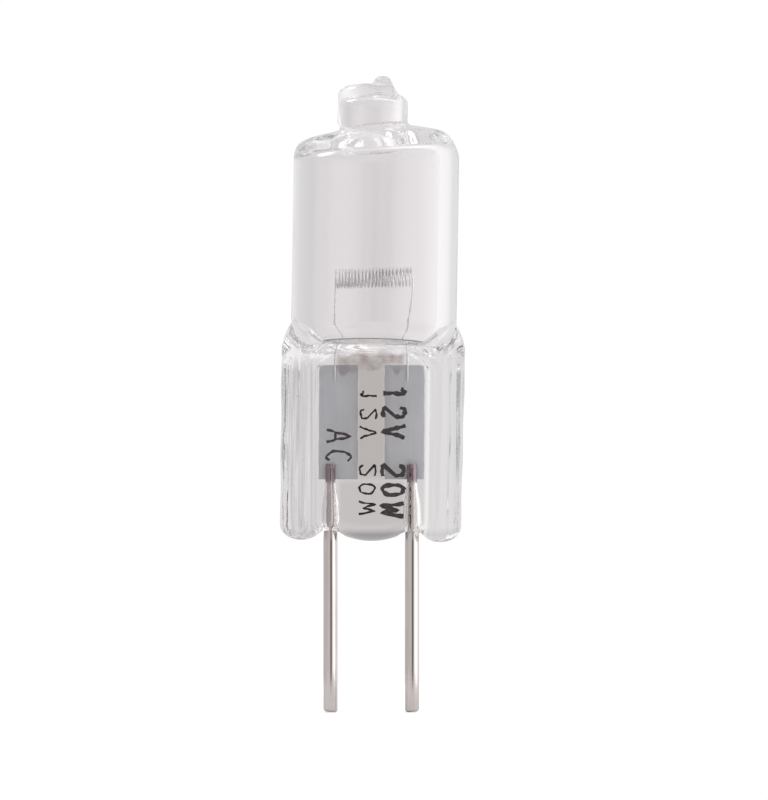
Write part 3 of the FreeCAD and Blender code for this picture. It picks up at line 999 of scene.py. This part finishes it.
def wireMaterial():
    # Drawn grey tungsten, clouded on the coil and even on the legs.
    material, tree, shader = newMaterial("tungsten")
    setInput(shader, "Metallic", 1.0)
    cloud = grain(tree, *wire["cloud"])
    share = stretch(tree, cloud, *wire["cloudSpread"], 0.0, 1.0)
    drawn = colourMix(tree, share, wire["dark"], wire["bright"])
    legs = band(tree, useGroup(tree, placesGroup).outputs["Z"], *wire["legZ"])
    colour = colourMix(tree, legs, drawn, wire["leg"])
    rough = stretch(tree, cloud, *wire["cloudSpread"], *wire["roughness"])
    dress(tree, shader, colour, rough, cloud, wire)
    return material


def legPath(start, heading, side):
    # A cubic curve from the end of the coil to the top of the straight part, then down the foil.
    foot = np.array([side * wire["legX"], foilFront - wire["radius"], wire["legTop"]])
    curveRows, straightRows = wire["legRows"]
    share = ramp(0.0, 1.0, curveRows)[:, None]
    reach = np.linalg.norm(foot - start)
    down = np.array([0.0, 0.0, -1.0])
    leaving = start + heading * reach * wire["coilPull"]
    arriving = foot - down * reach * wire["footPull"]
    curve = ((1 - share) ** 3 * start + 3 * (1 - share) ** 2 * share * leaving
             + 3 * (1 - share) * share ** 2 * arriving + share ** 3 * foot)
    length = wire["legTop"] - (foilTop - wire["legOverlap"])
    straight = foot + down * ramp(0.0, length, straightRows, True)[:, None]
    return np.concatenate([curve, straight])


def wirePath():
    # Leg, helix about a slightly tilted line with a pitch that wavers by a sine, leg.
    count = int(wire["turns"] * wire["steps"])
    turn = np.linspace(0.0, 2.0 * math.pi * wire["turns"], count)
    length = wire["pitch"] * wire["turns"]
    waver = wire["uneven"] * np.sin(turn / wire["unevenTurns"])
    along = length * (turn / turn[-1] - 0.5) + waver
    tilt = math.radians(wire["tilt"])
    rise = wire["coilRadius"] * np.sin(turn)
    coil = np.stack([wire["centreX"] + along * math.cos(tilt) - rise * math.sin(tilt),
                     wire["coilRadius"] * np.cos(turn),
                     wire["centreZ"] + along * math.sin(tilt) + rise * math.cos(tilt)], axis=-1)
    ahead = coil[1] - coil[0]
    behind = coil[-1] - coil[-2]
    left = legPath(coil[0], -ahead / np.linalg.norm(ahead), -1)
    right = legPath(coil[-1], behind / np.linalg.norm(behind), 1)
    return np.concatenate([left[:0:-1], coil, right[1:]])


path = wirePath()
grid = tubeGrid(path, wire["radius"], wire["radius"], np.array([1.0, 0.0, 0.0]), wire["sides"])
addPiece("filament_wire", skinOf("filament_wire", grid), wireMaterial(), ["filament"])
print("filament", len(path))


# Print: a plain rating in round-ended strokes on the web

ink = {
    "front": {"text": "12V 20W", "height": 1.10, "advance": 0.95, "stroke": 0.10,
              "low": 0.52, "start": 7.60},
    "side": {"text": "AC", "height": 1.22, "advance": 1.00, "stroke": 0.06,
             "low": -2.22, "start": 5.45},
    "back": {"text": "12V 20W", "height": 0.80, "advance": 0.92, "stroke": 0.05,
             "low": -0.20, "start": 7.45},
    "thickness": 0.006,
    "waver": 0.022,
    "waverLines": (23.0, 7.0),
    "uneven": 0.35,
    "unevenLines": (31.0, 11.0),
    "arcSteps": 28,
    "lineSteps": 12,
    "sides": 10,
    "sharp": 60.0,
    "dark": (0.020, 0.015, 0.015),
    "thin": (0.075, 0.058, 0.055),
    "thinSpread": (0.35, 0.75),
    "cloud": (6.0, 6.0),
    "roughSpread": (0.30, 0.70),
    "roughness": (0.50, 0.80),
    "bumpStrength": 0.3,
    "bumpDepth": 0.01,
}


def arcStroke(centreX, centreY, radiusX, radiusY, start, end):
    turn = np.radians(np.linspace(start, end, ink["arcSteps"]))
    x = centreX + radiusX * np.cos(turn)
    return np.stack([x, centreY + radiusY * np.sin(turn)], axis=-1)


def lineStroke(*corners):
    # Straight runs in small steps, so the carried profile keeps its width.
    corners = np.array(corners, dtype=float)
    runs = [ramp(corners[k], corners[k + 1], ink["lineSteps"]) for k in range(len(corners) - 1)]
    return np.concatenate(runs + [corners[-1:]])


glyphs = {
    "0": [arcStroke(0.32, 0.5, 0.26, 0.48, 90.0, 450.0)],
    "1": [lineStroke((0.12, 0.78), (0.36, 1.0), (0.36, 0.0))],
    "2": [np.concatenate([arcStroke(0.32, 0.70, 0.26, 0.28, 165.0, -35.0),
                          lineStroke((0.04, 0.02), (0.62, 0.02))])],
    "V": [lineStroke((0.02, 1.0), (0.32, 0.0), (0.62, 1.0))],
    "W": [lineStroke((0.0, 1.0), (0.17, 0.0), (0.34, 0.75), (0.51, 0.0), (0.68, 1.0))],
    "A": [lineStroke((0.02, 0.0), (0.32, 1.0), (0.62, 0.0)),
          lineStroke((0.13, 0.35), (0.51, 0.35))],
    "C": [arcStroke(0.34, 0.5, 0.28, 0.48, 50.0, 310.0)],
    " ": [],
}


def inkMaterial():
    # Fired brown-black ink, thin and uneven.
    material, tree, shader = newMaterial("ink")
    cloud = grain(tree, *ink["cloud"])
    share = stretch(tree, cloud, *ink["thinSpread"], 0.0, 1.0)
    colour = colourMix(tree, share, ink["dark"], ink["thin"])
    rough = stretch(tree, cloud, *ink["roughSpread"], *ink["roughness"])
    dress(tree, shader, colour, rough, cloud, ink)
    return material


def addPrint(name, style, facing, material):
    # The line runs down the web; each stroke is a flat oval profile carried along its path,
    # whose place and width waver by sines.
    points = []
    faces = []
    total = 0
    outward = np.array([0.0, 1.0, 0.0])
    quick, slow = ink["waverLines"]
    short, long = ink["unevenLines"]
    for place, letter in enumerate(style["text"]):
        for stroke in glyphs[letter]:
            along = ramp(0.0, 1.0, len(stroke)) + place
            waver = ink["waver"] * np.sin(along * quick)
            x = style["low"] + stroke[:, 1] * style["height"] + waver
            z = style["start"] - (place + stroke[:, 0]) * style["advance"]
            z = z + waver * np.sin(along * slow)
            uneven = ink["uneven"] * np.sin(along * short) * np.sin(along * long)
            wide = style["stroke"] * (1.0 + uneven)
            y = np.full(len(x), facing * glass["webHalf"])
            path = np.stack([x * (1.0 if facing < 0 else -1.0), y, z], axis=-1)
            grid = tubeGrid(path, wide, ink["thickness"], outward, ink["sides"])
            points.append(grid.reshape(-1, 3))
            faces.append(ringFaces(*grid.shape[:2]) + total)
            total += grid.shape[0] * grid.shape[1]
    mesh = meshOf(name, leaned(np.concatenate(points)), np.concatenate(faces))
    return addPiece(name, mesh, material, (), ink["sharp"])


inkColour = inkMaterial()
for place, facing in (("front", -1.0), ("side", -1.0), ("back", 1.0)):
    addPrint("print_" + place, ink[place], facing, inkColour)
print("print")


# Floor, light and camera

studio = {
    "floorSize": 64.0,
    "floorLift": 0.36,
    "floorRough": 0.9,
    "floorDark": (0.86, 0.86, 0.86),
    "floorPale": (0.89, 0.89, 0.89),
    "floorGrain": (0.02, 0.02),
    "white": 1.02,
    "room": 0.74,
    "leftDrop": 0.10,
    "softbox": (38.0, 100.0, 0.30),
    "softboxLevel": (-0.35, 0.75, 0.20),
    "softboxGain": 0.90,
    "fill": (100.0, 160.0, 0.30),
    "fillGain": 0.22,
    "stand": (-5.0, 25.0, 0.10),
    "standLevel": (-0.09, 0.05, 0.04),
    "standGain": 0.56,
    "lamp": (-150.0, -115.0, 0.14),
    "lampLevel": (0.45, 0.70, 0.08),
    "lampGain": 0.7,
    "topLevel": (0.50, 0.90),
    "topGain": 0.10,
    "bounces": 64,
    "glossyBounces": 32,
    "cameraAway": 320.0,
    "cameraClip": 0.01,
    "sensor": 36.0,
    "viewHeight": 39.26,
    "aimX": 0.626,
    "aimZ": 6.92,
}


def seenByCamera(tree, seen, other):
    # One value for the camera's own rays, another for the rest.
    node = addNode(tree, "ShaderNodeMix", data_type="FLOAT")
    path = addNode(tree, "ShaderNodeLightPath")
    tree.links.new(path.outputs["Is Camera Ray"], node.inputs["Factor"])
    setInput(node, "B", seen)
    if isinstance(other, float):
        setInput(node, "A", other)
    else:
        tree.links.new(other, node.inputs["A"])
    return node.outputs[0]


def floorMaterial():
    # Matte white, lifted a little for the camera alone.
    material, tree, shader = newMaterial("floor")
    setInput(shader, "Roughness", studio["floorRough"])
    setInput(shader, "Emission Color", (1.0, 1.0, 1.0, 1.0))
    lift = seenByCamera(tree, studio["floorLift"], 0.0)
    tree.links.new(lift, shader.inputs["Emission Strength"])
    cloud = grain(tree, *studio["floorGrain"])
    colour = colourMix(tree, cloud, studio["floorDark"], studio["floorPale"])
    tree.links.new(colour, shader.inputs["Base Color"])
    return material


half = studio["floorSize"] / 2.0
corners = np.array([[-half, -half, pinTip], [half, -half, pinTip],
                    [half, half, pinTip], [-half, half, pinTip]])
floorMesh = bpy.data.meshes.new("floor")
floorMesh.from_pydata((corners * mm).tolist(), [], [(0, 1, 2, 3)])
floorMesh.materials.append(floorMaterial())
addObject("floor", floorMesh)

scene = bpy.context.scene
scene.view_settings.view_transform = "Standard"
scene.cycles.max_bounces = studio["bounces"]
scene.cycles.transmission_bounces = studio["bounces"]
scene.cycles.glossy_bounces = studio["glossyBounces"]


def sector(start, end, soft):
    # Limits around the upright axis, degrees to radians; soft is in radians.
    return math.radians(start), math.radians(end), soft


def buildWorld():
    # White to the camera. Glass and metal see a pale room with a tall softbox to the right, a
    # weak fill beyond it, a small lamp behind on the left and a brighter top, less a dim strip
    # where the camera stands and a slightly dimmer left.
    world = bpy.data.worlds.new("studio")
    scene.world = world
    world.use_nodes = True
    tree = world.node_tree
    background = tree.nodes["Background"]
    place = addNode(tree, "ShaderNodeTexCoord")
    parts = addNode(tree, "ShaderNodeSeparateXYZ")
    tree.links.new(place.outputs["Generated"], parts.inputs[0])
    x, y, z = [parts.outputs[label] for label in "XYZ"]
    turn = mathNode(tree, "ARCTAN2", x, mathNode(tree, "MULTIPLY", y, -1.0))
    spots = {"fill": band(tree, turn, *sector(*studio["fill"]))}
    for name in ("softbox", "lamp", "stand"):
        spots[name] = zone(tree, turn, sector(*studio[name]), z, studio[name + "Level"])
    for name in list(spots):
        spots[name] = mathNode(tree, "MULTIPLY", spots[name], studio[name + "Gain"])
    above = stretch(tree, z, *studio["topLevel"], 0.0, studio["topGain"])
    bright = spots["softbox"]
    for light in (spots["fill"], spots["lamp"], above, studio["room"]):
        bright = mathNode(tree, "ADD", bright, light)
    left = stretch(tree, x, -1.0, 0.0, studio["leftDrop"], 0.0)
    room = mathNode(tree, "SUBTRACT", bright, mathNode(tree, "ADD", spots["stand"], left))
    setInput(background, "Color", (1.0, 1.0, 1.0, 1.0))
    strength = seenByCamera(tree, studio["white"], room)
    tree.links.new(strength, background.inputs["Strength"])


def addCamera():
    # A long lens in front; viewHeight is the longer side of the picture at the bulb.
    data = bpy.data.cameras.new("camera")
    data.sensor_width = studio["sensor"]
    data.lens = studio["sensor"] * studio["cameraAway"] / studio["viewHeight"]
    data.clip_start = studio["cameraClip"]
    camera = addObject("camera", data)
    camera.location = (studio["aimX"] * mm, -studio["cameraAway"] * mm, studio["aimZ"] * mm)
    camera.rotation_euler = (math.pi / 2.0, 0.0, 0.0)
    scene.camera = camera


buildWorld()
addCamera()
print("studio")
